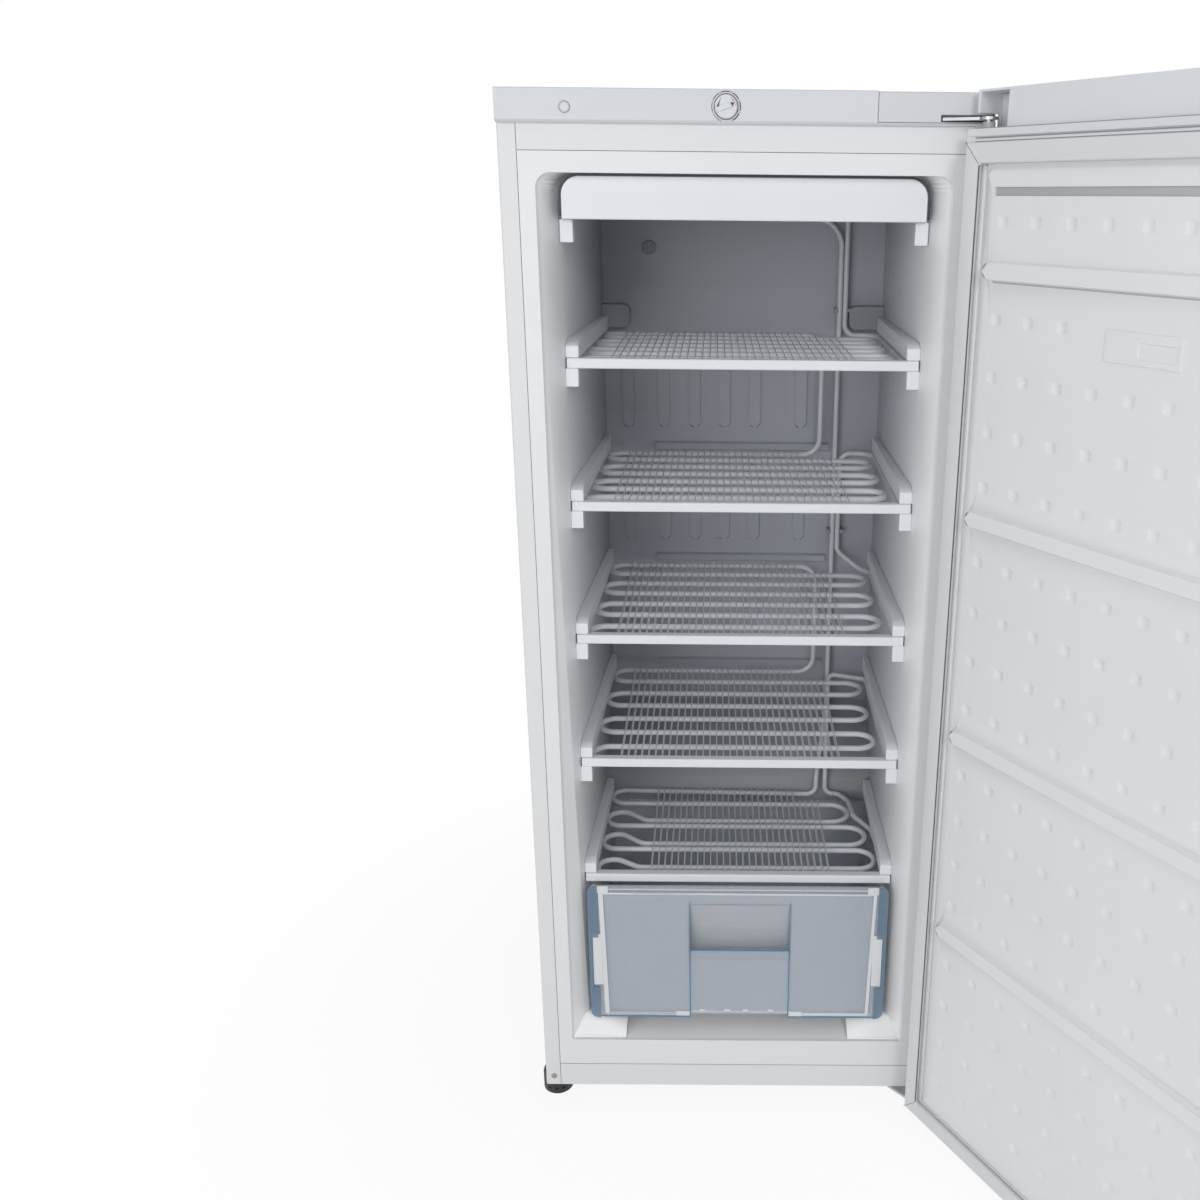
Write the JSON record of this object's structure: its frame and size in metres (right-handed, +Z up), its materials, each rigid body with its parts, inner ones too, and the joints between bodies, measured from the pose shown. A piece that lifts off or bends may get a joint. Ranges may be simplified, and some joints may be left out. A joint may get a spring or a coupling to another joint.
{
  "type": "upright freezer",
  "caption": "White upright freezer with one right-hinged door standing open, cold tube shelves, a clear drawer and a thermostat strip.",
  "frame": {"origin": "on the floor, under the middle of the cabinet's plan outline", "axes": "+Z up, -Y towards the user in front, +X to the right seen from the front"},
  "size_m": [0.8558, 0.9983, 1.3665],
  "materials": {
    "white_steel": "smooth white enamel",
    "grey_steel": "plain grey paint",
    "white_plastic": "smooth white moulded plastic",
    "coil_enamel": "pale grey coated tube",
    "black_plastic": "black plastic",
    "black_steel": "black paint",
    "zinc_steel": "bright zinc plating",
    "grey_rubber": "soft white-grey magnetic seal",
    "black_rubber": "black rubber",
    "insulation": "rigid foam",
    "clear_plastic": "clear moulded plastic",
    "blue_plastic": "blue-tinted clear plastic",
    "knob_plastic": "white knob",
    "dark_print": "dark dial ring",
    "grey_plastic": "grey plastic",
    "copper": "bare copper"
  },
  "bodies": {
    "cabinet": {"cabinet_wrap": "white_steel", "back_panel": "grey_steel", "base_plate": "grey_steel", "top_rail": "white_steel", "bottom_rail": "white_steel", "compressor_rail": "grey_steel", "inner_liner": "white_plastic", "cabinet_foam": "insulation", "foot_plates": "black_steel", "lower_hinge": "zinc_steel", "corner_screws": "zinc_steel", "control_panel": "white_plastic", "hinge_cover": "white_plastic", "top_hinge": "zinc_steel", "thermostat_body": "grey_plastic", "dial_ring": "dark_print", "indicator_lamp": "grey_plastic", "top_cover_strip": "white_plastic", "top_evaporator": "coil_enamel", "shelf_coil_1": "coil_enamel", "shelf_coil_2": "coil_enamel", "shelf_coil_3": "coil_enamel", "shelf_coil_4": "coil_enamel", "shelf_coil_5": "coil_enamel", "shelf_trim_1": "white_plastic", "shelf_trim_2": "white_plastic", "shelf_trim_3": "white_plastic", "shelf_trim_4": "white_plastic", "shelf_trim_5": "white_plastic", "shelf_wires": "coil_enamel", "side_rails": "white_plastic", "support_lugs": "white_plastic", "link_tubes": "coil_enamel", "suction_riser": "coil_enamel", "liner_fittings": "white_plastic", "drawer_runners": "white_plastic", "condenser_coil": "black_steel", "condenser_wires": "black_steel", "condenser_brackets": "grey_steel", "compressor": "black_steel", "compressor_mounts": "black_rubber", "starter_cover": "black_plastic", "filter_drier": "copper"},
    "door": {"door_skin": "white_steel", "door_top_cap": "white_plastic", "door_bottom_cap": "white_plastic", "door_panel": "white_plastic", "door_foam": "insulation", "door_gasket": "grey_rubber", "door_bushes": "grey_plastic", "door_badge": "white_plastic", "grip_cup": "white_plastic"},
    "drawer": {"drawer_tub": "clear_plastic", "drawer_bands": "blue_plastic"},
    "knob": {"thermostat_knob": "knob_plastic"},
    "foot_front_left": {"foot_front_left": "black_plastic"},
    "foot_front_right": {"foot_front_right": "black_plastic"},
    "foot_rear_left": {"foot_rear_left": "black_plastic"},
    "foot_rear_right": {"foot_rear_right": "black_plastic"}
  },
  "joints": [
    {"name": "door_hinge", "type": "hinge", "parent": "cabinet", "child": "door", "pos_m": [0.263, -0.2705, 0.635], "axis": [0, 0, 1], "range_deg": [-122.1, 8]},
    {"name": "drawer_slide", "type": "slide", "parent": "cabinet", "child": "drawer", "axis": [0, -1, 0], "range_m": [0, 0.21]},
    {"name": "thermostat_turn", "type": "hinge", "parent": "cabinet", "child": "knob", "pos_m": [-0.021, -0.24, 1.348], "axis": [0, 1, 0], "range_deg": [-210, 90]},
    {"name": "foot_front_left_turn", "type": "hinge", "parent": "cabinet", "child": "foot_front_left", "pos_m": [-0.264, -0.2, 0.015], "axis": [0, 0, 1], "continuous": true},
    {"name": "foot_front_right_turn", "type": "hinge", "parent": "cabinet", "child": "foot_front_right", "pos_m": [0.264, -0.2, 0.015], "axis": [0, 0, 1], "continuous": true},
    {"name": "foot_rear_left_turn", "type": "hinge", "parent": "cabinet", "child": "foot_rear_left", "pos_m": [-0.264, 0.2, 0.015], "axis": [0, 0, 1], "continuous": true},
    {"name": "foot_rear_right_turn", "type": "hinge", "parent": "cabinet", "child": "foot_rear_right", "pos_m": [0.264, 0.2, 0.015], "axis": [0, 0, 1], "continuous": true}
  ]
}
